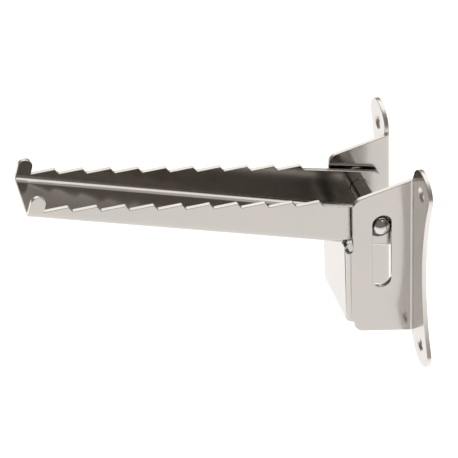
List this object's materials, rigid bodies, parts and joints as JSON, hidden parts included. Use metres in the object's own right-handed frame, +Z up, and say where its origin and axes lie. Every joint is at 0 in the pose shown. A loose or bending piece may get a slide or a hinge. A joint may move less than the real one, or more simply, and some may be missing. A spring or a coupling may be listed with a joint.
{
  "type": "fold-down wall hanger arm",
  "caption": "Wall bracket of bent stainless sheet with a toothed channel arm that tips up about a sliding rod and hangs clothes hangers in its notches.",
  "frame": {"origin": "centre of the four screw holes, on the wall plane", "axes": "+Z up, -Y out from the wall along the arm, +X to the right seen from the room facing the wall"},
  "size_m": [0.078, 0.1622, 0.1113],
  "materials": {
    "polished_stainless": "polished",
    "rod_stainless": "polished",
    "spring_steel": "satin"
  },
  "bodies": {
    "bracket": {"wall_bracket": "polished_stainless"},
    "rod": {"pivot_rod": "rod_stainless", "retaining_ring_left": "spring_steel", "retaining_ring_right": "spring_steel"},
    "arm": {"hanger_arm": "polished_stainless"}
  },
  "joints": [
    {"name": "rod_drop", "type": "slide", "parent": "bracket", "child": "rod", "axis": [0, 0, -1], "range_m": [0, 0.0102]},
    {"name": "arm_fold", "type": "hinge", "parent": "rod", "child": "arm", "pos_m": [0, -0.0154, 0.0182], "axis": [-1, 0, 0], "range_deg": [0, 72.1]}
  ],
  "couplings": [
    {"joint": "rod_drop", "follows": "arm_fold", "m_per_rad": 0.008}
  ]
}
